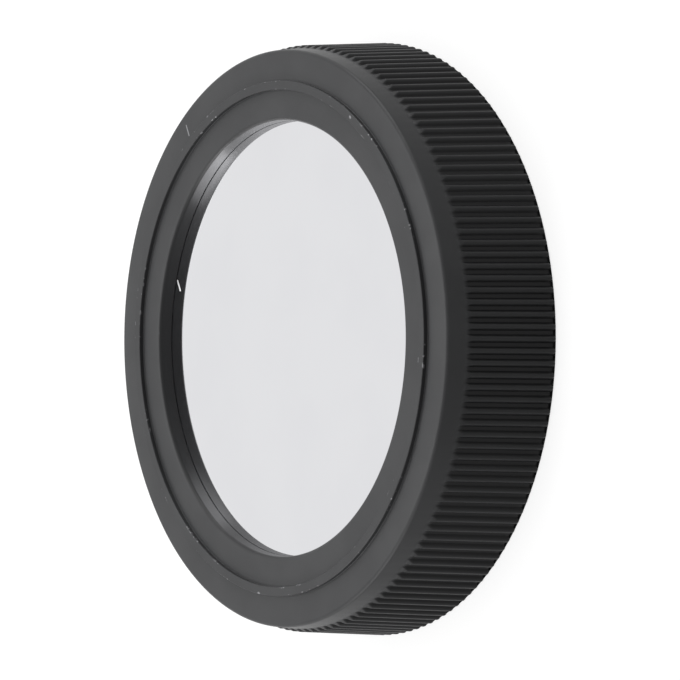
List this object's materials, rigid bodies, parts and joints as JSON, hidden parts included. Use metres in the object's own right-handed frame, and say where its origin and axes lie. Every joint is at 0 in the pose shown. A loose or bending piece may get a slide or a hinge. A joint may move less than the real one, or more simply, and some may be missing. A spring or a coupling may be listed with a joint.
{
  "type": "telescope solar filter",
  "caption": "Push-on solar filter: black cell with a ridged grip, a mirror-coated glass disc and a felt-lined rear socket.",
  "frame": {"origin": "centre of the rear rim, where the optical axis meets the plane that the filter lies on", "axes": "+Z along the optical axis from the rear rim to the front face, which is turned to the sun in use"},
  "size_m": [0.069, 0.069, 0.0146],
  "materials": {
    "anodised_aluminium": "satin black anodised",
    "coated_glass": "metal-coated, mirror bright",
    "gasket_rubber": "matt black",
    "felt": "black felt"
  },
  "bodies": {
    "root": {"cell": "anodised_aluminium", "filter_glass": "coated_glass", "glass_gasket": "gasket_rubber", "retaining_ring": "anodised_aluminium", "felt_liner": "felt"}
  },
  "joints": []
}
